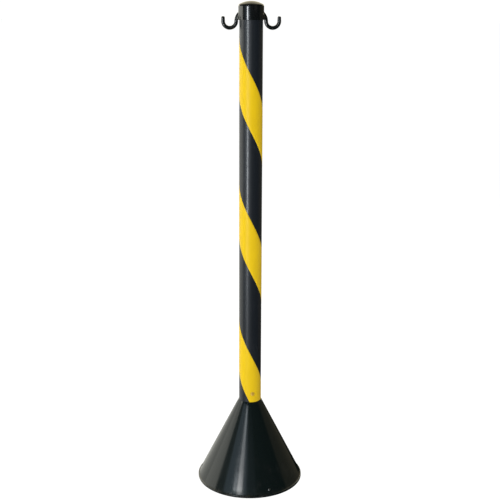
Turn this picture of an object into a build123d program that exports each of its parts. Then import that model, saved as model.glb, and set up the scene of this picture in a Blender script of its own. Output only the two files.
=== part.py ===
from build123d import *

import os
from math import asin, atan, cos, degrees, radians, sin, sqrt

# Rope barrier post: a weighted plastic cone carries a striped plastic pipe with a cap that has two open
# hooks. Millimetres, +Z up, origin on the floor at the middle of the cone, hooks along +X and -X.

# Cone base: the foot radius is the cone's own side where it leaves the flange.
FLANGE_RADIUS = 120.3
FLANGE_HEIGHT = 5.0
FLANGE_EDGE_ROUND = 0.8
FLANGE_FILLET = 1.4
FOOT_RADIUS = 118.2
NECK_RADIUS = 25.5
SHOULDER_HEIGHT = 191.0
SHOULDER_ROUND = 0.6
CONE_WALL = 3.0

# Pipe, and the spigot of the cone that goes up inside it.
TUBE_RADIUS = 25.0
TUBE_WALL = 2.0
TUBE_TOP = 1066.0
TUBE_END_CHAMFER = 0.4
SPIGOT_CLEARANCE = 0.1
SPIGOT_HEIGHT = 45.0
SPIGOT_CHAMFER = 2.0

# One strip of tape wound down the pipe, turning left as it rises.
TAPE_THICKNESS = 0.2
TAPE_PITCH = 311.0
TAPE_AXIAL_WIDTH = 119.5
TAPE_LOWER_EDGE = 189.0

# Cap with its two hooks. Heights of the hooks are measured up from the cap's rim.
CAP_RIM_HEIGHT = 1043.2
CAP_RADIUS = 27.15
CAP_BORE_CLEARANCE = 0.27
CAP_EDGE_HEIGHT = 30.5
CAP_DOME_RISE = 7.9
CAP_SHOULDER_ROUND = 2.5
CAP_RIM_ROUND = 0.5
CAP_END_GAP = 0.3
CAP_LEDGE_WIDTH = 4.0
CAP_HOLLOW_DEPTH = 7.5
HOOK_BAR_RADIUS = 4.0
HOOK_CENTRE_X = 45.1
HOOK_CENTRE_UP = -3.0
HOOK_BEND_RADIUS = 13.8
HOOK_TIP_UP = 7.0
HOOK_PRONG_RADIUS = 3.7
HOOK_ROOT_RADIUS = 22.0
HOOK_ROOT_ANGLE = 62.0
HOOK_WEB_BOTTOM_UP = 0.5
HOOK_WEB_INNER_X = 16.0
HOOK_WEB_INNER_HALF_WIDTH = 19.5

# Bottom cover with a collar that follows the inside of the cone, and the weight that stands on it.
COVER_THICKNESS = 3.0
COVER_CLEARANCE = 0.4
COLLAR_WALL = 3.0
COLLAR_TOP = 24.0
BALLAST_FOOT_RADIUS = 94.0
BALLAST_STEP_HEIGHT = 27.0
BALLAST_TOP = 46.0

# Screws. Angles are measured about +Z from +X.
COVER_SCREW_COUNT = 3
COVER_SCREW_ANGLE = -67.0
COVER_SCREW_HEIGHT = 13.5
COVER_SCREW_RADIUS = 1.5
COVER_SCREW_LENGTH = 9.0
COVER_SCREW_HEAD_RADIUS = 2.9
COVER_SCREW_HEAD_HEIGHT = 1.7
TUBE_SCREW_ANGLE = -77.0
TUBE_SCREW_HEIGHT = 211.0
TUBE_SCREW_RADIUS = 2.0
TUBE_SCREW_LENGTH = 11.0
TUBE_SCREW_HEAD_RADIUS = 4.6
TUBE_SCREW_HEAD_HEIGHT = 2.2
TUBE_SCREW_SLOT_TURN = 38.0
SCREW_SLOT_WIDTH = 1.3
SCREW_SLOT_DEPTH = 1.0
SCREW_POINT_RADIUS = 0.7
SCREW_POINT_LENGTH = 2.0
SCREW_HOLE_CLEARANCE = 0.15

# How far a cutting shape runs past what it cuts.
OVERRUN = 4.0

# Worked out from the sizes above.
CONE_SLOPE = (FOOT_RADIUS - NECK_RADIUS) / (SHOULDER_HEIGHT - FLANGE_HEIGHT)
CONE_LEAN = degrees(atan(CONE_SLOPE))
SPIGOT_RADIUS = TUBE_RADIUS - TUBE_WALL - SPIGOT_CLEARANCE
SPIGOT_TOP = SHOULDER_HEIGHT + SPIGOT_HEIGHT
CAP_BORE_RADIUS = TUBE_RADIUS + CAP_BORE_CLEARANCE
CAP_TOP = CAP_RIM_HEIGHT + CAP_EDGE_HEIGHT + CAP_DOME_RISE


def cone_radius(height, depth=0.0):
    """Radius at a height of the cone's outer side, or of a cone that lies depth inside it."""
    outer = FOOT_RADIUS - (height - FLANGE_HEIGHT) * CONE_SLOPE
    return outer - depth * sqrt(1 + CONE_SLOPE**2)


def cone_height(radius, depth=0.0):
    """Height at which that cone has this radius."""
    return FLANGE_HEIGHT + (cone_radius(FLANGE_HEIGHT, depth) - radius) / CONE_SLOPE


def outline(*points):
    """Closed face in the XZ plane through (radius, height) points."""
    return make_face(Plane.XZ * Polyline(*points, close=True))


def corner(face, radius, height):
    """The corner of an XZ face nearest to a radius and a height."""
    return face.vertices().sort_by_distance((radius, 0, height))[0]


def round_corner(face, radius, height, size):
    """The face with its corner at that radius and height rounded."""
    return fillet(corner(face, radius, height), size)


def turned(face):
    """Solid of revolution about the post's axis, with its seam turned away from the hooks."""
    return about_axis(90) * revolve(face, Axis.Z)


def about_axis(angle):
    """Turn about the post's axis."""
    return Rot(0, 0, angle)


def radial_rod(radius, angle, height, start, end):
    """Rod that runs straight out from the axis at a height, between two distances from it."""
    rod = Pos(start, 0, height) * Rot(0, 90, 0) * Cylinder(
        radius, end - start, align=(Align.CENTER, Align.CENTER, Align.MIN)
    )
    return about_axis(angle) * rod


def cover_screw_places():
    """Places on the cone's side, each with local +Z square to the side and outward."""
    places = []
    for index in range(COVER_SCREW_COUNT):
        turn = about_axis(COVER_SCREW_ANGLE + index * 360 / COVER_SCREW_COUNT)
        side = Pos(cone_radius(COVER_SCREW_HEIGHT), 0, COVER_SCREW_HEIGHT)
        places.append(turn * side * Rot(0, 90 - CONE_LEAN, 0))
    return places


def cover_screw_rods(radius, inward):
    """Rods along the cover screws' axes, to a depth inside the cone's side, for cutting holes."""
    rod = Pos(0, 0, -inward) * Cylinder(
        radius, inward + OVERRUN, align=(Align.CENTER, Align.CENTER, Align.MIN)
    )
    return [place * rod for place in cover_screw_places()]


def slotted_screw(shank_radius, length, head_radius, head_height, slot_turn):
    """Round-headed screw with its seat at local Z = 0, its head above and its shank below."""
    sphere = (head_radius**2 + head_height**2) / (2 * head_height)
    ball = Pos(0, 0, head_height - sphere) * Sphere(sphere)
    blank = Cylinder(head_radius, head_height, align=(Align.CENTER, Align.CENTER, Align.MIN))
    shank = Cylinder(shank_radius, length, align=(Align.CENTER, Align.CENTER, Align.MAX))
    point = Cone(
        SCREW_POINT_RADIUS, shank_radius, SCREW_POINT_LENGTH, align=(Align.CENTER, Align.CENTER, Align.MAX)
    )
    slot = Rot(0, 0, slot_turn) * Pos(0, 0, head_height) * Box(
        2 * head_radius + OVERRUN, SCREW_SLOT_WIDTH, 2 * SCREW_SLOT_DEPTH
    )
    return ((blank & ball) - slot) + shank + Pos(0, 0, -length) * point


def base_cone():
    """Moulded shell: flange, cone side, shoulder and spigot, open underneath."""
    inner_neck = SPIGOT_RADIUS - CONE_WALL
    face = outline(
        (cone_radius(0, CONE_WALL), 0),
        (FLANGE_RADIUS, 0),
        (FLANGE_RADIUS, FLANGE_HEIGHT),
        (FOOT_RADIUS, FLANGE_HEIGHT),
        (NECK_RADIUS, SHOULDER_HEIGHT),
        (SPIGOT_RADIUS, SHOULDER_HEIGHT),
        (SPIGOT_RADIUS, SPIGOT_TOP),
        (inner_neck, SPIGOT_TOP),
        (inner_neck, cone_height(inner_neck, CONE_WALL)),
    )
    face = round_corner(face, FOOT_RADIUS, FLANGE_HEIGHT, FLANGE_FILLET)
    face = round_corner(face, FLANGE_RADIUS, FLANGE_HEIGHT, FLANGE_EDGE_ROUND)
    face = round_corner(face, NECK_RADIUS, SHOULDER_HEIGHT, SHOULDER_ROUND)
    face = chamfer(corner(face, SPIGOT_RADIUS, SPIGOT_TOP), SPIGOT_CHAMFER)
    shell = turned(face)
    shell -= radial_rod(
        TUBE_SCREW_RADIUS, TUBE_SCREW_ANGLE, TUBE_SCREW_HEIGHT, inner_neck - OVERRUN, TUBE_RADIUS
    )
    for rod in cover_screw_rods(COVER_SCREW_RADIUS + SCREW_HOLE_CLEARANCE, CONE_WALL + OVERRUN):
        shell -= rod
    return shell


def base_cover():
    """Bottom plate, flush with the flange's underside, with a collar inside the cone."""
    outside = CONE_WALL + COVER_CLEARANCE
    inside = outside + COLLAR_WALL
    face = outline(
        (0, 0),
        (cone_radius(0, outside), 0),
        (cone_radius(COLLAR_TOP, outside), COLLAR_TOP),
        (cone_radius(COLLAR_TOP, inside), COLLAR_TOP),
        (cone_radius(COVER_THICKNESS, inside), COVER_THICKNESS),
        (0, COVER_THICKNESS),
    )
    cover = turned(face)
    for rod in cover_screw_rods(COVER_SCREW_RADIUS, COVER_SCREW_LENGTH + OVERRUN):
        cover -= rod
    return cover


def ballast():
    """Cast weight: its foot stands on the cover, clear of the collar and screws, its sides fill the cone."""
    return turned(
        outline(
            (0, COVER_THICKNESS),
            (BALLAST_FOOT_RADIUS, COVER_THICKNESS),
            (BALLAST_FOOT_RADIUS, BALLAST_STEP_HEIGHT),
            (cone_radius(BALLAST_STEP_HEIGHT, CONE_WALL), BALLAST_STEP_HEIGHT),
            (cone_radius(BALLAST_TOP, CONE_WALL), BALLAST_TOP),
            (0, BALLAST_TOP),
        )
    )


def cover_screws():
    """The three screws that hold the cover, through the cone's side into the collar."""
    screw = slotted_screw(
        COVER_SCREW_RADIUS, COVER_SCREW_LENGTH, COVER_SCREW_HEAD_RADIUS, COVER_SCREW_HEAD_HEIGHT, 0
    )
    return Compound([place * screw for place in cover_screw_places()])


def tube_screw_hole(clearance):
    """Rod along the tube screw's axis, wider than its shank, through the pipe's wall and the tape."""
    return radial_rod(
        TUBE_SCREW_RADIUS + clearance,
        TUBE_SCREW_ANGLE,
        TUBE_SCREW_HEIGHT,
        TUBE_RADIUS - TUBE_WALL - OVERRUN,
        TUBE_RADIUS + OVERRUN,
    )


def tube():
    """Plastic pipe, standing on the cone's shoulder."""
    bore = TUBE_RADIUS - TUBE_WALL
    face = outline(
        (bore, SHOULDER_HEIGHT),
        (TUBE_RADIUS, SHOULDER_HEIGHT),
        (TUBE_RADIUS, TUBE_TOP),
        (bore, TUBE_TOP),
    )
    face = chamfer(corner(face, TUBE_RADIUS, TUBE_TOP), TUBE_END_CHAMFER)
    return turned(face) - tube_screw_hole(SCREW_HOLE_CLEARANCE)


def tape_edge_angle(edge_height):
    """Angle at which an edge of the strip, this high at -Y, meets the pipe's foot."""
    return -90 + 360 * (edge_height - SHOULDER_HEIGHT) / TAPE_PITCH


def stripe_tape():
    """Wound strip: a thin sleeve round the pipe, kept only where a twisted sector passes through it."""
    length = TUBE_TOP - TUBE_END_CHAMFER - SHOULDER_HEIGHT
    sleeve = Cylinder(TUBE_RADIUS + TAPE_THICKNESS, length) - Cylinder(TUBE_RADIUS, length)
    start = tape_edge_angle(TAPE_LOWER_EDGE)
    end = tape_edge_angle(TAPE_LOWER_EDGE + TAPE_AXIAL_WIDTH)
    arc = CenterArc((0, 0), TUBE_RADIUS + OVERRUN, start, end - start)
    sector = make_face(Line((0, 0), arc @ 0) + arc + Line(arc @ 1, (0, 0)))
    twist = -360 * length / TAPE_PITCH
    band = Solid.extrude_linear_with_rotation(sector.face(), (0, 0, 0), (0, 0, length), twist)
    strip = (Pos(0, 0, length / 2) * sleeve) & band
    return Pos(0, 0, SHOULDER_HEIGHT) * strip - tube_screw_hole(SCREW_HOLE_CLEARANCE)


def tube_screw():
    """Slotted screw through the pipe's foot into the spigot."""
    screw = slotted_screw(
        TUBE_SCREW_RADIUS,
        TUBE_SCREW_LENGTH,
        TUBE_SCREW_HEAD_RADIUS,
        TUBE_SCREW_HEAD_HEIGHT,
        TUBE_SCREW_SLOT_TURN,
    )
    seat = Pos(TUBE_RADIUS + TAPE_THICKNESS, 0, TUBE_SCREW_HEIGHT) * Rot(0, 90, 0)
    return about_axis(TUBE_SCREW_ANGLE) * seat * screw


def cap_shell():
    """Skirt and domed top, before the bore is cut. The dome is part of a ball centred on the axis."""
    edge = CAP_RIM_HEIGHT + CAP_EDGE_HEIGHT
    ball = (CAP_RADIUS**2 + CAP_DOME_RISE**2) / (2 * CAP_DOME_RISE)
    half_way = asin(CAP_RADIUS / ball) / 2
    dome = ThreePointArc(
        (CAP_RADIUS, edge),
        (ball * sin(half_way), CAP_TOP - ball * (1 - cos(half_way))),
        (0, CAP_TOP),
    )
    side = Polyline((0, CAP_TOP), (0, CAP_RIM_HEIGHT), (CAP_RADIUS, CAP_RIM_HEIGHT), (CAP_RADIUS, edge))
    face = make_face(Plane.XZ * (side + dome))
    face = round_corner(face, CAP_RADIUS, edge, CAP_SHOULDER_ROUND)
    face = round_corner(face, CAP_RADIUS, CAP_RIM_HEIGHT, CAP_RIM_ROUND)
    return turned(face)


def hook_root_point(stem, angle):
    """Point on the arc by which the bar leaves the skirt, turned back by an angle from the upright stem."""
    out = stem - HOOK_ROOT_RADIUS * (1 - cos(angle))
    return out, CAP_RIM_HEIGHT + HOOK_CENTRE_UP + HOOK_ROOT_RADIUS * sin(angle)


def hook():
    """Hook on +X: a round bar that leaves the skirt, turns down, round under and up to a round tip."""
    bend_height = CAP_RIM_HEIGHT + HOOK_CENTRE_UP
    stem = HOOK_CENTRE_X - HOOK_BEND_RADIUS
    prong = HOOK_CENTRE_X + HOOK_BEND_RADIUS
    root_start = hook_root_point(stem, radians(HOOK_ROOT_ANGLE))
    root_middle = hook_root_point(stem, radians(HOOK_ROOT_ANGLE) / 2)
    path = Plane.XZ * (
        ThreePointArc(root_start, root_middle, (stem, bend_height))
        + ThreePointArc(
            (stem, bend_height), (HOOK_CENTRE_X, bend_height - HOOK_BEND_RADIUS), (prong, bend_height)
        )
    )
    start = path @ 0
    direction = path % 0
    bar = sweep(Plane(origin=start, z_dir=direction) * Circle(HOOK_BAR_RADIUS), path=path)
    tip = CAP_RIM_HEIGHT + HOOK_TIP_UP - HOOK_PRONG_RADIUS
    straight = Pos(prong, 0, bend_height) * Cone(
        HOOK_BAR_RADIUS, HOOK_PRONG_RADIUS, tip - bend_height, align=(Align.CENTER, Align.CENTER, Align.MIN)
    )
    return bar + straight + Pos(prong, 0, tip) * Sphere(HOOK_PRONG_RADIUS) + hook_web(stem, bend_height)


def hook_web(stem, bend_height):
    """Wedge between the skirt and the bar, as wide as the bar at the stem and wider at the skirt."""
    plan = make_face(
        Polyline(
            (HOOK_WEB_INNER_X, HOOK_WEB_INNER_HALF_WIDTH),
            (stem, HOOK_BAR_RADIUS),
            (stem, -HOOK_BAR_RADIUS),
            (HOOK_WEB_INNER_X, -HOOK_WEB_INNER_HALF_WIDTH),
            close=True,
        )
    )
    wedge = Pos(0, 0, CAP_RIM_HEIGHT + HOOK_WEB_BOTTOM_UP) * extrude(plan, HOOK_ROOT_RADIUS)
    under_bar = Rot(90, 0, 0) * Cylinder(HOOK_ROOT_RADIUS, 2 * CAP_RADIUS)
    return wedge & (Pos(stem - HOOK_ROOT_RADIUS, 0, bend_height) * under_bar)


def hook_cap():
    """Cap that pushes over the pipe's end up to a ledge, with a hollow above and a hook on each side."""
    ledge = TUBE_TOP + CAP_END_GAP
    below = CAP_RIM_HEIGHT + HOOK_CENTRE_UP - HOOK_BEND_RADIUS
    bore = turned(
        outline(
            (0, below),
            (CAP_BORE_RADIUS, below),
            (CAP_BORE_RADIUS, ledge),
            (CAP_BORE_RADIUS - CAP_LEDGE_WIDTH, ledge),
            (CAP_BORE_RADIUS - CAP_LEDGE_WIDTH, ledge + CAP_HOLLOW_DEPTH),
            (0, ledge + CAP_HOLLOW_DEPTH),
        )
    )
    body = cap_shell()
    for angle in (0, 180):
        body += about_axis(angle) * hook()
    return body - bore


NODES = {
    "base_cone": base_cone,
    "ballast": ballast,
    "base_cover": base_cover,
    "cover_screws": cover_screws,
    "tube": tube,
    "stripe_tape": stripe_tape,
    "tube_screw": tube_screw,
    "hook_cap": hook_cap,
}

os.makedirs("parts", exist_ok=True)
for name, build in NODES.items():
    export_step(build(), f"parts/{name}.step")
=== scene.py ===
from math import atan, ceil, cos, degrees, pi, radians, sin, tan

import bpy
import numpy as np
from mathutils import Matrix, Vector


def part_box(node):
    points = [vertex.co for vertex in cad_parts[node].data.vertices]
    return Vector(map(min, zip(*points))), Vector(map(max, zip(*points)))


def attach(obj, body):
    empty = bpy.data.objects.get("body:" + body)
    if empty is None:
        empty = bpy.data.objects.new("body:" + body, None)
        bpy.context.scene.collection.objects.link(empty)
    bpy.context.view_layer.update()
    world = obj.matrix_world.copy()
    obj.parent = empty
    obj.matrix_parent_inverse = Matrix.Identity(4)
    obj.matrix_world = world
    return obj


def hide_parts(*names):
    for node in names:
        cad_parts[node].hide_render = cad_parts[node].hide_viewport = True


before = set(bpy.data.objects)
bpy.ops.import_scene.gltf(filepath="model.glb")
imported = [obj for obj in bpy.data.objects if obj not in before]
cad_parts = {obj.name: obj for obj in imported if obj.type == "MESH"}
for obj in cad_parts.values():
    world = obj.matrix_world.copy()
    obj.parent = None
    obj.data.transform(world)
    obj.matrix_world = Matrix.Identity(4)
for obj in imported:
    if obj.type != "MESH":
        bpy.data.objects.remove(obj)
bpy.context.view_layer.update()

MM = 0.001

# ---------------------------------------------------------------- sizes, in metres, from the frame
TUBE_LOW, TUBE_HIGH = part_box("tube")
CONE_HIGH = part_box("base_cone")[1]
CAP_LOW, CAP_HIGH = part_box("hook_cap")
SHOULDER = TUBE_LOW.z
TUBE_TOP = TUBE_HIGH.z
TUBE_RADIUS = TUBE_HIGH.y
FLANGE_RADIUS = CONE_HIGH.y
SPIGOT_TOP = CONE_HIGH.z
CAP_RADIUS = CAP_HIGH.y
CAP_TOP = CAP_HIGH.z

# The sizes that boxes can't tell, as the parts have them.
TUBE_WALL = 2.0 * MM
CONE_WALL = 3.0 * MM
FLANGE_HEIGHT = 5.0 * MM
FOOT_RADIUS = 118.2 * MM
NECK_RADIUS = 25.5 * MM
SPIGOT_RADIUS = 22.9 * MM
TAPE_PITCH = 311.0 * MM
TAPE_AXIAL_WIDTH = 119.5 * MM
TAPE_LOWER_EDGE = 189.0 * MM

ROUND_STEPS = 192


# ---------------------------------------------------------------- mesh helpers
def mesh_object(name, vertices, faces, smooth=True):
    """A mesh object in the row frame."""
    mesh = bpy.data.meshes.new(name)
    mesh.from_pydata([tuple(v) for v in vertices], [], faces)
    mesh.validate()
    mesh.update()
    for polygon in mesh.polygons:
        polygon.use_smooth = smooth
    obj = bpy.data.objects.new(name, mesh)
    bpy.context.scene.collection.objects.link(obj)
    return obj


def arc(centre, radius, start, end, steps=6):
    """Points (r, z) along an arc, with angles in degrees from +r towards +z."""
    angles = [radians(start + (end - start) * i / steps) for i in range(steps + 1)]
    return [(centre[0] + radius * cos(a), centre[1] + radius * sin(a)) for a in angles]


def lathe(name, profile, steps=ROUND_STEPS):
    """Closed ring of revolution about Z from a closed profile of (r, z) points, none on the axis."""
    count = len(profile)
    vertices = []
    for i in range(steps):
        a = 2 * pi * i / steps
        vertices += [(r * cos(a), r * sin(a), z) for r, z in profile]
    faces = []
    for i in range(steps):
        a, b = i * count, (i + 1) % steps * count
        for k in range(count):
            n = (k + 1) % count
            faces.append((a + k, b + k, b + n, a + n))
    return mesh_object(name, vertices, faces)


def crease(obj, angle=30):
    """Keeps edges sharper than an angle sharp in the shading."""
    obj.data.set_sharp_from_angle(angle=radians(angle))


# ---------------------------------------------------------------- cone base
CONE_SLOPE = (FOOT_RADIUS - NECK_RADIUS) / (SHOULDER - FLANGE_HEIGHT)


def cone_line(z):
    """Outer radius of the cone's side at a height."""
    return FOOT_RADIUS - (z - FLANGE_HEIGHT) * CONE_SLOPE


def make_cone():
    """Moulded shell with a rounded flange, a filleted foot, a rounded neck and the spigot."""
    lean = atan(CONE_SLOPE)
    wall = CONE_WALL / cos(lean)
    under = 0.4 * MM
    edge = 0.8 * MM
    foot = 1.4 * MM
    neck = 0.6 * MM
    lead_in = 2 * MM
    reach = foot * tan((pi / 2 - lean) / 2)
    foot_centre = (FOOT_RADIUS + reach, FLANGE_HEIGHT + foot)
    profile = [(cone_line(0) - wall, 0.0)]
    profile += arc((FLANGE_RADIUS - under, under), under, -90, 0, 3)
    profile += arc((FLANGE_RADIUS - edge, FLANGE_HEIGHT - edge), edge, 0, 90, 6)
    profile += arc(foot_centre, foot, 270, 180 + degrees(lean), 8)
    side_steps = 24
    low, high = foot_centre[1], SHOULDER - 2 * neck
    for i in range(1, side_steps):
        z = low + (high - low) * i / side_steps
        profile.append((cone_line(z), z))
    neck_centre = (NECK_RADIUS - neck * 0.85, SHOULDER - neck)
    profile += arc(neck_centre, neck, degrees(lean), 90, 6)
    profile += [
        (SPIGOT_RADIUS, SHOULDER),
        (SPIGOT_RADIUS, SPIGOT_TOP - lead_in),
        (SPIGOT_RADIUS - lead_in, SPIGOT_TOP),
        (SPIGOT_RADIUS - CONE_WALL, SPIGOT_TOP),
    ]
    inner = SPIGOT_RADIUS - CONE_WALL
    profile.append((inner, FLANGE_HEIGHT + (FOOT_RADIUS - wall - inner) / CONE_SLOPE))
    cone = lathe("cone_shell", profile, 256)
    crease(cone)
    return cone


# ---------------------------------------------------------------- pipe and tape
def make_pipe():
    """Extruded pipe with lightly broken edges."""
    bore = TUBE_RADIUS - TUBE_WALL
    broken = 0.35 * MM
    sides = 40
    profile = [(bore, SHOULDER)]
    profile += [(TUBE_RADIUS - broken, SHOULDER), (TUBE_RADIUS, SHOULDER + broken)]
    length = TUBE_TOP - broken - SHOULDER - broken
    profile += [(TUBE_RADIUS, SHOULDER + broken + length * i / sides) for i in range(1, sides + 1)]
    profile += [(TUBE_RADIUS - broken, TUBE_TOP), (bore, TUBE_TOP)]
    pipe = lathe("pipe", profile)
    crease(pipe)
    return pipe


def make_tape():
    """One strip wound round the pipe. It rises as it turns left, and its edges wander slightly."""
    film = 0.14 * MM
    sunk = 0.05 * MM
    narrowest = 0.02 * MM
    round_in = 0.25 * MM
    step = radians(2.0)
    low_end, high_end = SHOULDER, TUBE_TOP - 0.4 * MM

    def lower_edge(turn):
        """Height of the strip's lower edge after turning left from -Y by an angle."""
        wander = 0.35 * MM * sin(1.7 * turn + 0.6) + 0.2 * MM * sin(4.3 * turn)
        return TAPE_LOWER_EDGE + TAPE_PITCH * turn / (2 * pi) + wander

    first = (low_end - TAPE_LOWER_EDGE - TAPE_AXIAL_WIDTH) / TAPE_PITCH * 2 * pi
    last = (high_end - TAPE_LOWER_EDGE) / TAPE_PITCH * 2 * pi
    rows = ceil((last - first) / step)
    across = 14
    vertices, faces = [], []
    for i in range(rows + 1):
        turn = first + (last - first) * i / rows
        a = -pi / 2 - turn
        low = max(lower_edge(turn), low_end)
        high = min(lower_edge(turn) + TAPE_AXIAL_WIDTH, high_end)
        high = max(high, low + narrowest)
        inset = min(round_in, (high - low) / 4)
        heights = [low, low + inset]
        heights += [low + inset + (high - low - 2 * inset) * k / across for k in range(1, across)]
        heights += [high - inset, high]
        for k, z in enumerate(heights):
            at_edge = k in (0, len(heights) - 1)
            r = TUBE_RADIUS + (0.25 * film if at_edge else film)
            vertices.append((r * cos(a), r * sin(a), z))
        for z in heights:
            r = TUBE_RADIUS - sunk
            vertices.append((r * cos(a), r * sin(a), z))
    ring = len(heights)
    width = 2 * ring
    for i in range(rows):
        a, b = i * width, (i + 1) * width
        for k in range(ring - 1):
            faces.append((a + k, a + k + 1, b + k + 1, b + k))
            faces.append((a + ring + k, b + ring + k, b + ring + k + 1, a + ring + k + 1))
        faces.append((a, b, b + ring, a + ring))
        faces.append((a + ring - 1, a + width - 1, b + width - 1, b + ring - 1))
    for base, flip in ((0, False), (rows * width, True)):
        loop = [base + k for k in range(ring)] + [base + width - 1 - k for k in range(ring)]
        faces.append(tuple(loop if flip else reversed(loop)))
    tape = mesh_object("tape", vertices, faces)
    crease(tape, 50)
    return tape


# ---------------------------------------------------------------- cap with hooks
# The cap is described by its distance field in millimetres, so that the hooks run into the skirt with a
# fillet. A voxel mesh of the CAD cap gives the faces, and each vertex is then moved on to the field.
BEND_HEIGHT = CAP_LOW.z / MM + 17.8
CAP = {
    "rim": BEND_HEIGHT + 3.0,
    "top": CAP_TOP / MM,
    "radius": CAP_RADIUS / MM,
    "bore": TUBE_RADIUS / MM + 0.27,
    "end": TUBE_TOP / MM + 0.3,
    "ledge": 4.0,
    "hollow": 7.5,
    "dome_rise": 7.9,
    "shoulder": 2.5,
    "edge": 0.45,
    "bar": 4.0,
    "prong": 3.7,
    "bend": 13.8,
    "hook_x": CAP_HIGH.x / MM - 17.8,
    "root": 22.0,
    "root_angle": radians(62),
    "tip": 7.0,
    "tip_round": 2.6,
    "web_turn": radians(44.63),
    "web_reach": 25.08,
    "web_inner": 16.0,
    "web_round": 0.8,
    "root_fillet": 1.2,
}


def round_and(a, b, r):
    """Inside both fields, with the edge between them rounded to radius r."""
    corner = np.hypot(np.maximum(a + r, 0), np.maximum(b + r, 0))
    return np.minimum(np.maximum(a, b), -r) + corner


def round_or(a, b, r):
    """Inside either field, with a fillet of radius r between them."""
    corner = np.hypot(np.maximum(r - a, 0), np.maximum(r - b, 0))
    return np.maximum(np.minimum(a, b), r) - corner


def arc_distance(x, z, centre_x, centre_z, radius, start, end):
    """Distance in a plane to an arc between two angles from +x towards +z."""
    middle = (start + end) / 2
    angle = np.arctan2(z - centre_z, x - centre_x)
    angle = middle + (angle - middle + pi) % (2 * pi) - pi
    angle = np.clip(angle, start, end)
    return np.hypot(x - centre_x - radius * np.cos(angle), z - centre_z - radius * np.sin(angle))


def bar_field(x, y, z):
    """Field of the round bar of the hook on +X, from the skirt to its flatly rounded tip."""
    stem = CAP["hook_x"] - CAP["bend"]
    root = arc_distance(x, z, stem - CAP["root"], BEND_HEIGHT, CAP["root"], 0, CAP["root_angle"])
    bend = arc_distance(x, z, CAP["hook_x"], BEND_HEIGHT, CAP["bend"], -pi, 0)
    bar = np.hypot(np.minimum(root, bend), y) - CAP["bar"]
    top = CAP["rim"] + CAP["tip"]
    along = np.clip((z - BEND_HEIGHT) / (top - BEND_HEIGHT), 0, 1)
    radius = CAP["bar"] + (CAP["prong"] - CAP["bar"]) * along
    side = np.hypot(x - CAP["hook_x"] - CAP["bend"], y) - radius
    prong = np.maximum(round_and(side, z - top, CAP["tip_round"]), BEND_HEIGHT - z)
    return np.minimum(bar, prong)


def web_field(x, y, z):
    """Field of the wedge that fills the corner between the skirt and the bar on +X."""
    stem = CAP["hook_x"] - CAP["bend"]
    under = np.hypot(x - stem + CAP["root"], z - BEND_HEIGHT) - CAP["root"]
    side = x * cos(CAP["web_turn"]) + np.abs(y) * sin(CAP["web_turn"]) - CAP["web_reach"]
    wedge = round_and(under, side, CAP["web_round"])
    wedge = round_and(wedge, CAP["rim"] + 0.4 - z, CAP["web_round"])
    return np.maximum(wedge, CAP["web_inner"] - x)


def cap_field(points):
    """Field of the whole cap: skirt, dome and two hooks, less the bore and the hollow over it."""
    x, y, z = np.abs(points[:, 0]), points[:, 1], points[:, 2]
    r = np.hypot(x, y)
    ball = (CAP["radius"] ** 2 + CAP["dome_rise"] ** 2) / (2 * CAP["dome_rise"])
    dome = np.hypot(r, z - (CAP["top"] - ball)) - ball
    body = round_and(r - CAP["radius"], dome, CAP["shoulder"])
    body = round_and(body, CAP["rim"] - z, CAP["edge"])
    body = round_or(body, bar_field(x, y, z), CAP["root_fillet"])
    body = round_or(body, web_field(x, y, z), CAP["root_fillet"])
    bore = np.maximum(r - CAP["bore"], z - CAP["end"])
    hollow = np.maximum(r - CAP["bore"] + CAP["ledge"], z - CAP["end"] - CAP["hollow"])
    return round_and(body, -np.minimum(bore, hollow), 0.2)


def field_slope(points):
    """Gradient of the cap's field by central differences."""
    step = 1e-3
    slope = np.empty_like(points)
    for k in range(3):
        shift = np.zeros(3)
        shift[k] = step
        slope[:, k] = (cap_field(points + shift) - cap_field(points - shift)) / (2 * step)
    return slope


VOXEL = 0.5 * MM
LONGEST_MOVE = 0.6
MOVES = 8


def make_cap():
    """Voxel copy of the CAD cap, moved on to the field, with the field's own normals."""
    rough = bpy.data.objects.new("rough_cap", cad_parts["hook_cap"].data.copy())
    bpy.context.scene.collection.objects.link(rough)
    remesh = rough.modifiers.new("voxels", "REMESH")
    remesh.mode = "VOXEL"
    remesh.voxel_size = VOXEL
    graph = bpy.context.evaluated_depsgraph_get()
    mesh = bpy.data.meshes.new_from_object(rough.evaluated_get(graph))
    bpy.data.objects.remove(rough)
    points = np.empty(len(mesh.vertices) * 3)
    mesh.vertices.foreach_get("co", points)
    points = points.reshape(-1, 3) / MM
    for _ in range(MOVES):
        slope = field_slope(points)
        size = np.maximum((slope**2).sum(1), 0.05)
        move = slope * (cap_field(points) / size)[:, None]
        length = np.linalg.norm(move, axis=1, keepdims=True)
        points -= move * np.minimum(1, LONGEST_MOVE / np.maximum(length, 1e-9))
    normals = field_slope(points)
    normals /= np.maximum(np.linalg.norm(normals, axis=1, keepdims=True), 1e-9)
    mesh.vertices.foreach_set("co", (points * MM).ravel())
    mesh.update()
    for polygon in mesh.polygons:
        polygon.use_smooth = True
    mesh.normals_split_custom_set_from_vertices([tuple(n) for n in normals])
    mesh.name = "cap_with_hooks"
    mesh.materials.clear()
    cap = bpy.data.objects.new("cap_with_hooks", mesh)
    bpy.context.scene.collection.objects.link(cap)
    return cap


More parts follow.
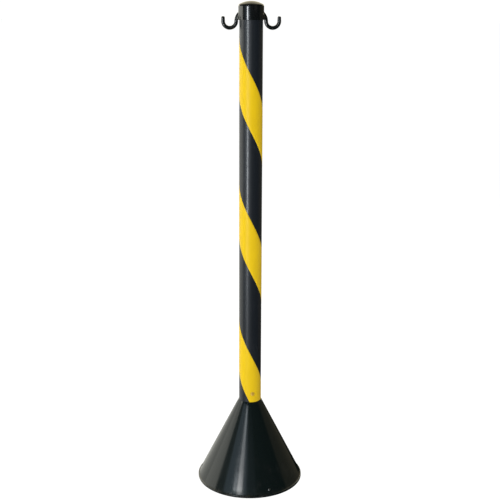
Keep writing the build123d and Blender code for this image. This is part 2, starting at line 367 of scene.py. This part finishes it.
# ---------------------------------------------------------------- material helpers
class Nodes:
    """Short hand for one node material around a Principled BSDF."""

    def __init__(self, name):
        self.material = bpy.data.materials.new(name)
        self.material.use_nodes = True
        self.tree = self.material.node_tree
        self.shader = self.tree.nodes["Principled BSDF"]
        self.place = self.add("ShaderNodeTexCoord").outputs["Object"]

    def add(self, kind, **settings):
        node = self.tree.nodes.new(kind)
        for key, value in settings.items():
            setattr(node, key, value)
        return node

    def join(self, output, socket):
        self.tree.links.new(output, socket)

    def set(self, **values):
        for key, value in values.items():
            self.shader.inputs[key.replace("_", " ")].default_value = value

    def stretched(self, scale):
        """Object coordinates, scaled by three numbers."""
        mapping = self.add("ShaderNodeMapping")
        mapping.inputs["Scale"].default_value = scale
        self.join(self.place, mapping.inputs["Vector"])
        return mapping.outputs["Vector"]

    def noise(self, scale, detail=4.0, rough=0.55, where=None):
        node = self.add("ShaderNodeTexNoise")
        node.inputs["Scale"].default_value = scale
        node.inputs["Detail"].default_value = detail
        node.inputs["Roughness"].default_value = rough
        self.join(where or self.place, node.inputs["Vector"])
        return node.outputs["Fac"]

    def ramp(self, value, *stops):
        """Colour ramp with stops of (position, colour)."""
        node = self.add("ShaderNodeValToRGB")
        elements = node.color_ramp.elements
        while len(elements) < len(stops):
            elements.new(0.5)
        for element, (position, colour) in zip(elements, stops):
            element.position = position
            element.color = (*colour, 1) if len(colour) == 3 else colour
        self.join(value, node.inputs["Fac"])
        return node.outputs["Color"]

    def span(self, value, low, high, to_low, to_high):
        """Value moved from one range to another, and kept inside it."""
        node = self.add("ShaderNodeMapRange")
        for key, number in zip(("From Min", "From Max", "To Min", "To Max"), (low, high, to_low, to_high)):
            node.inputs[key].default_value = number
        self.join(value, node.inputs["Value"])
        return node.outputs["Result"]

    def maths(self, operation, a, b):
        node = self.add("ShaderNodeMath", operation=operation)
        for socket, value in zip(node.inputs, (a, b)):
            if isinstance(value, (int, float)):
                socket.default_value = value
            else:
                self.join(value, socket)
        return node.outputs["Value"]

    def mix(self, amount, first, second):
        """Colour mixed from first to second by an amount from 0 to 1."""
        node = self.add("ShaderNodeMix", data_type="RGBA")
        colours = [s for s in node.inputs if s.type == "RGBA"]
        for socket, value in zip((node.inputs[0], colours[0], colours[1]), (amount, first, second)):
            if isinstance(value, tuple):
                socket.default_value = (*value, 1)
            else:
                self.join(value, socket)
        return [s for s in node.outputs if s.type == "RGBA"][0]

    def bump(self, *layers):
        """Bump from layers of (height, distance in metres, strength)."""
        normal = None
        for height, distance, strength in layers:
            node = self.add("ShaderNodeBump")
            node.inputs["Distance"].default_value = distance
            node.inputs["Strength"].default_value = strength
            self.join(height, node.inputs["Height"])
            if normal is not None:
                self.join(normal, node.inputs["Normal"])
            normal = node.outputs["Normal"]
        self.join(normal, self.shader.inputs["Normal"])

    def height(self):
        """Height above the floor in metres."""
        split = self.add("ShaderNodeSeparateXYZ")
        self.join(self.place, split.inputs["Vector"])
        return split.outputs["Z"]

    def colour(self, value):
        self.join(value, self.shader.inputs["Base Color"])

    def roughness(self, value):
        self.join(value, self.shader.inputs["Roughness"])


def moulded_black(name, polish, dark, worn):
    """Glossy moulded plastic: faint orange peel, handling smudges and fine scratches."""
    m = Nodes(name)
    cloud = m.noise(14, 5)
    scratch = m.noise(120, 6, 0.7, m.stretched((1, 1, 0.12)))
    scuffs = m.span(m.maths("MULTIPLY", cloud, scratch), 0.30, 0.42, 0, 1)
    m.colour(m.mix(scuffs, dark, worn))
    smudge = m.span(m.noise(30, 6, 0.6), 0.35, 0.7, polish, polish + 0.07)
    m.roughness(m.maths("ADD", smudge, m.maths("MULTIPLY", scuffs, 0.12)))
    peel = m.noise(260, 2)
    m.bump((peel, 0.00002, 0.15), (scratch, 0.00001, 0.15))
    m.set(IOR=1.58)
    return m.material


def cone_plastic():
    """Cone: as moulded, with a lighter band on the flange and just above it, partly dust and partly painted
    sheen.
    """
    m = Nodes("cone_plastic")
    cloud = m.noise(9, 5)
    scratch = m.noise(90, 6, 0.7, m.stretched((1, 1, 0.35)))
    scuffs = m.span(m.maths("MULTIPLY", cloud, scratch), 0.31, 0.45, 0, 0.8)
    body = m.mix(scuffs, (0.005, 0.0085, 0.0082), (0.016, 0.018, 0.017))
    # Painted sheen: the lowest 12 mm are made lighter where the flange and its fillet catch the light. The
    # same patchy mask also stands for dust and raises the roughness.
    low = m.span(m.height(), 0.0, 0.012, 1, 0)
    dust_and_sheen = m.maths("MULTIPLY", low, m.span(m.noise(70, 6, 0.65), 0.42, 0.7, 0, 0.7))
    m.colour(m.mix(dust_and_sheen, body, (0.05, 0.046, 0.04)))
    smudge = m.span(m.noise(22, 6, 0.6), 0.35, 0.7, 0.11, 0.17)
    m.roughness(m.maths("ADD", smudge, m.maths("MULTIPLY", dust_and_sheen, 0.4)))
    peel = m.noise(180, 2)
    flow = m.noise(18, 3)
    m.bump((flow, 0.0004, 0.12), (peel, 0.00003, 0.3), (scratch, 0.00001, 0.25))
    m.set(IOR=1.58)
    return m.material


def pipe_plastic():
    """Pipe: satin black, with the fine lines of its die along it and rubbed spots."""
    m = Nodes("pipe_plastic")
    lines = m.noise(420, 3, 0.6, m.stretched((1, 1, 0.006)))
    cloud = m.noise(11, 5)
    rub = m.span(m.maths("MULTIPLY", cloud, m.noise(160, 6, 0.7)), 0.30, 0.45, 0, 1)
    m.colour(m.mix(rub, (0.006, 0.009, 0.013), (0.018, 0.021, 0.025)))
    grain = m.span(lines, 0.3, 0.7, 0.46, 0.54)
    m.roughness(m.maths("ADD", grain, m.maths("MULTIPLY", rub, 0.1)))
    m.bump((lines, 0.00003, 0.3), (m.noise(20, 3), 0.0005, 0.08))
    m.set(IOR=1.5, Coat_Weight=0.5, Coat_Roughness=0.2)
    return m.material


def tape_vinyl():
    """Yellow film: slight mottling, lines along the pull, rubbed specks and a soft satin face."""
    m = Nodes("tape_vinyl")
    cloud = m.noise(16, 4)
    specks = m.span(m.noise(240, 5, 0.7), 0.66, 0.78, 0, 0.4)
    body = m.ramp(cloud, (0.3, (0.7, 0.455, 0.0)), (0.7, (0.74, 0.485, 0.0)))
    m.colour(m.mix(specks, body, (0.55, 0.33, 0.005)))
    m.roughness(m.span(m.noise(45, 5), 0.3, 0.7, 0.36, 0.43))
    pull = m.noise(150, 3, 0.6, m.stretched((1, 1, 0.15)))
    m.bump((pull, 0.00003, 0.25), (m.noise(26, 3), 0.0005, 0.10))
    m.set(IOR=1.4, Specular_IOR_Level=0.3)
    return m.material


def zinc(name, tint, shade, rough, metallic):
    """Zinc-plated steel: mottled plating and fine turning marks."""
    m = Nodes(name)
    cloud = m.noise(300, 5)
    m.colour(m.ramp(cloud, (0.3, shade), (0.7, tint)))
    m.roughness(m.span(m.noise(900, 5, 0.7), 0.3, 0.7, rough, rough + 0.18))
    m.bump((m.noise(1500, 3), 0.00002, 0.3))
    m.set(Metallic=metallic)
    return m.material


def concrete():
    """Cast concrete with aggregate and pores."""
    m = Nodes("cast_concrete")
    stones = m.add("ShaderNodeTexVoronoi")
    stones.inputs["Scale"].default_value = 140
    m.join(m.place, stones.inputs["Vector"])
    cloud = m.noise(30, 6)
    body = m.ramp(cloud, (0.3, (0.25, 0.24, 0.22)), (0.7, (0.42, 0.40, 0.37)))
    m.colour(m.mix(m.span(stones.outputs["Distance"], 0.0, 0.5, 0.5, 0), body, (0.18, 0.17, 0.16)))
    m.roughness(m.span(cloud, 0.3, 0.7, 0.8, 0.95))
    m.bump((stones.outputs["Distance"], 0.0012, 0.4), (m.noise(400, 6), 0.0006, 0.5))
    return m.material


def cover_plastic():
    """Matt moulded plate with a fine spark-eroded grain, scuffed by floors."""
    m = Nodes("cover_plastic")
    grain = m.noise(900, 3)
    scuff = m.span(m.noise(60, 6, 0.7), 0.5, 0.75, 0, 1)
    m.colour(m.mix(scuff, (0.012, 0.012, 0.013), (0.05, 0.05, 0.048)))
    m.roughness(m.span(scuff, 0, 1, 0.45, 0.7))
    m.bump((grain, 0.0001, 0.5))
    return m.material


# ---------------------------------------------------------------- pieces on their bodies
def dress(obj, material):
    """The object's faces all take one material."""
    obj.data.materials.clear()
    obj.data.materials.append(material)


def stand_in(obj, node, body, material):
    """A detailed piece shown in place of a CAD node."""
    dress(obj, material)
    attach(obj, body)
    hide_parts(node)


stand_in(make_cone(), "base_cone", "post", cone_plastic())
stand_in(make_pipe(), "tube", "post", pipe_plastic())
stand_in(make_tape(), "stripe_tape", "post", tape_vinyl())
cap_plastic = moulded_black("cap_plastic", 0.09, (0.0045, 0.0055, 0.0055), (0.014, 0.014, 0.014))
stand_in(make_cap(), "hook_cap", "cap", cap_plastic)
KEPT = {
    "ballast": concrete(),
    "base_cover": cover_plastic(),
    "cover_screws": zinc("plain_zinc", (0.3, 0.31, 0.3), (0.2, 0.21, 0.2), 0.4, 1.0),
    "tube_screw": zinc("yellow_zinc", (0.8, 0.52, 0.07), (0.68, 0.4, 0.05), 0.4, 0.3),
}
for node, material in KEPT.items():
    dress(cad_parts[node], material)


# ---------------------------------------------------------------- stage, lights and camera
def make_stage():
    """Pale floor with a far wall round it, both bright enough to show white and kept out of reflections."""
    half = 36.0
    corners = [(-half, -half, 0), (half, -half, 0), (half, half, 0), (-half, half, 0)]
    floor = mesh_object("floor", corners, [(0, 1, 2, 3)])
    floor.location.z = -0.0002
    upper = [(x, y, half) for x, y, z in corners]
    sides = [(0, 1, 5, 4), (1, 2, 6, 5), (2, 3, 7, 6), (3, 0, 4, 7)]
    far = mesh_object("far_wall", corners + upper, sides)
    m = Nodes("pale_floor")
    m.set(Base_Color=(0.1, 0.1, 0.1, 1), Roughness=0.9)
    m.set(Emission_Color=(1, 1, 1, 1), Emission_Strength=0.985)
    for obj in (floor, far):
        dress(obj, m.material)
        obj.visible_glossy = False
        obj.visible_shadow = False
    far.visible_diffuse = False


def around(azimuth, distance, height):
    """Point at an angle to the right of the camera's side, seen from the post."""
    a = radians(azimuth)
    return Vector((distance * sin(a), -distance * cos(a), height))


def light(name, place, aim, width, tall, radiance, tint, glossy):
    """Rectangular light of a given radiance, turned to a point."""
    data = bpy.data.lights.new(name, "AREA")
    data.shape = "RECTANGLE"
    data.size, data.size_y = width, tall
    data.energy = radiance * pi * width * tall
    data.color = tint
    lamp = bpy.data.objects.new(name, data)
    bpy.context.scene.collection.objects.link(lamp)
    lamp.location = place
    lamp.rotation_euler = (aim - place).to_track_quat("-Z", "Y").to_euler()
    lamp.visible_camera = False
    lamp.visible_glossy = glossy


def wall(name, sides, distance, heights, radiance, tint=(1, 1, 1)):
    """Upright bright panel between two azimuths and two heights, facing the post's axis."""
    middle, half = sum(sides) / 2, radians(abs(sides[1] - sides[0]) / 2)
    height, tall = sum(heights) / 2, heights[1] - heights[0]
    place = around(middle, distance * cos(half), height)
    light(name, place, Vector((0, 0, height)), 2 * distance * sin(half), tall, radiance, tint, True)


def fill(name, azimuth, distance, height, size, radiance):
    """Soft light that colours and shades, but doesn't mirror in the plastic."""
    light(name, around(azimuth, distance, height), Vector((0, 0, 0.5)), size, size, radiance, (1, 1, 1), False)


def make_lights():
    """A tall window to the left of the camera, a bright wall at the left and dim walls around."""
    world = bpy.data.worlds.new("studio")
    bpy.context.scene.world = world
    world.use_nodes = True
    world.node_tree.nodes["Background"].inputs["Color"].default_value = (1, 1, 1, 1)
    world.node_tree.nodes["Background"].inputs["Strength"].default_value = 0.25
    world.cycles_visibility.glossy = False
    window, pane = (-37.2, -25.8), (0.95, 1.0, 1.04)
    wall("window_top", window, 3.0, (0.78, 1.15), 16, pane)
    wall("window_sash", window, 3.0, (0.28, 0.78), 9, pane)
    wall("window_middle", window, 3.0, (-0.15, 0.28), 19, pane)
    wall("window_low", window, 3.0, (-0.5, -0.15), 2, pane)
    wall("window_foot", window, 3.0, (-1.2, -0.5), 1.2, pane)
    skylight = (-28.7, -17.3)
    wall("skylight_low", skylight, 6.0, (1.9, 2.15), 22)
    wall("skylight_upper", skylight, 6.0, (2.15, 2.62), 8.5)
    wall("skylight_middle", skylight, 6.0, (2.62, 3.12), 1.5)
    wall("skylight_top", skylight, 6.0, (3.12, 3.5), 3.2, (0.85, 0.95, 1.0))
    blue = (0.66, 0.83, 1.0)
    wall("front_wall", (-60, -8), 6.3, (1.0, 3.4), 0.6, blue)
    wall("front_wall_low", (-60, -8), 6.3, (-1.0, 1.0), 0.35, blue)
    wall("front_dim", (-8, 14), 6.3, (1.0, 3.4), 0.12, blue)
    wall("left_corner", (-79, -60), 6.3, (1.0, 3.4), 0.1)
    warm = (1.0, 1.0, 0.92)
    wall("left_wall_low", (-112, -79), 2.2, (-1.2, -0.1), 0.8, warm)
    wall("left_wall", (-112, -79), 2.2, (-0.1, 0.6), 1.25, warm)
    wall("left_wall_middle", (-112, -79), 2.2, (0.6, 0.92), 1.0, warm)
    wall("left_wall_high", (-112, -79), 2.2, (0.92, 1.15), 2.4, warm)
    wall("left_wall_top", (-112, -79), 2.2, (1.15, 1.9), 1.05, warm)
    wall("back_left", (-165, -112), 2.2, (-1.2, 0.75), 0.85, warm)
    wall("back_left_top", (-165, -112), 2.2, (0.75, 1.6), 1.5, warm)
    wall("right_wall", (85, 150), 2.6, (-0.5, 1.9), 0.11, (1.0, 0.88, 0.6))
    beige = (1.0, 0.92, 0.66)
    wall("back_wall", (135, 225), 5.0, (1.2, 5.2), 1.2, beige)
    wall("back_ceiling", (135, 225), 5.0, (5.2, 7.5), 0.6, beige)
    fill("front_fill", 0, 3.5, 2.6, 2.0, 0.6)
    fill("top_fill", 20, 0.6, 3.4, 3.0, 0.5)


def make_camera():
    """Camera in front of -Y, looking down at the post from just above its top."""
    data = bpy.data.cameras.new("camera")
    data.sensor_width = 36.0
    data.lens = 71.26
    camera = bpy.data.objects.new("camera", data)
    bpy.context.scene.collection.objects.link(camera)
    tilt, roll = radians(14.74), radians(0.18)
    turn = Matrix.Rotation(pi / 2 - tilt, 4, "X") @ Matrix.Rotation(roll, 4, "Z")
    camera.matrix_world = Matrix.Translation((-0.0009, -2.126, 1.104)) @ turn
    bpy.context.scene.camera = camera


make_stage()
make_lights()
make_camera()
bpy.context.scene.view_settings.view_transform = "Standard"
